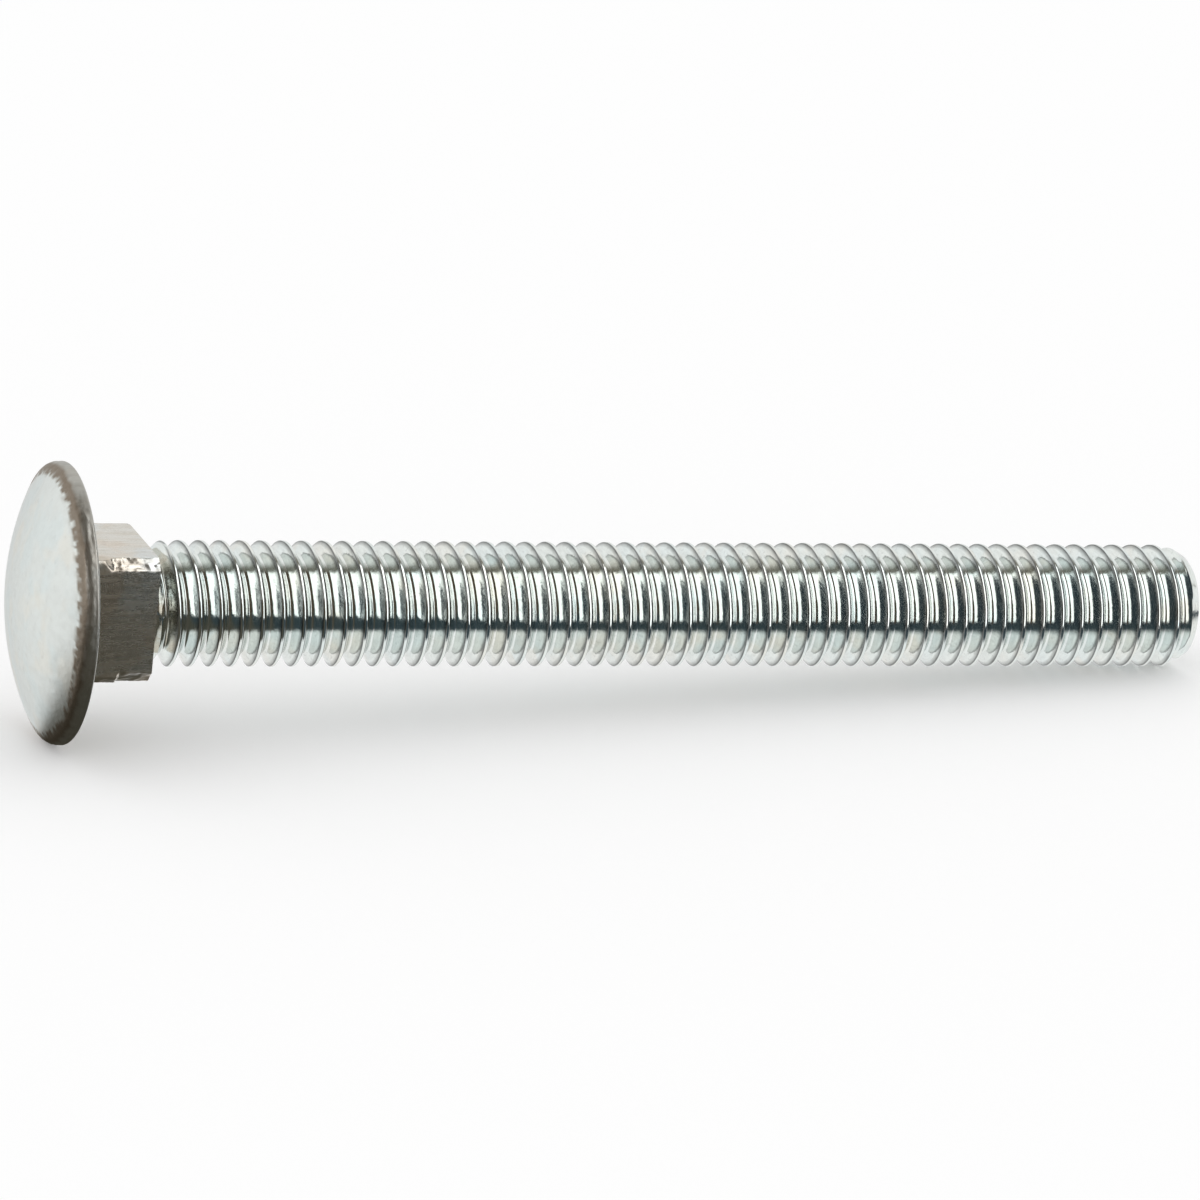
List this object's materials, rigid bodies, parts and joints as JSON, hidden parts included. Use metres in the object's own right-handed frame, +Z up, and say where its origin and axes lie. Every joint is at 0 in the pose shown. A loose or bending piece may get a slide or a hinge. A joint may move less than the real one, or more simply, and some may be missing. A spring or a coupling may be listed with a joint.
{
  "type": "carriage bolt",
  "caption": "Round-head square-neck bolt with a low domed head, a short square neck and a full-length right-hand thread, in bright zinc-plated steel.",
  "frame": {"origin": "centre of the bearing face under the head, where the bolt's axis crosses it", "axes": "the bolt lies as it rests on a level surface: its axis runs along +X from head to point and drops 3.76 degrees towards -Z; +Z is up; the neck's flats face up, down and to -Y and +Y; the surface it lies on is 10.41 mm below the origin"},
  "size_m": [0.0928, 0.0208, 0.0209],
  "materials": {
    "zinc_plated_steel": "bright blue-white zinc plate"
  },
  "bodies": {
    "root": {"carriage_bolt": "zinc_plated_steel"}
  },
  "joints": []
}
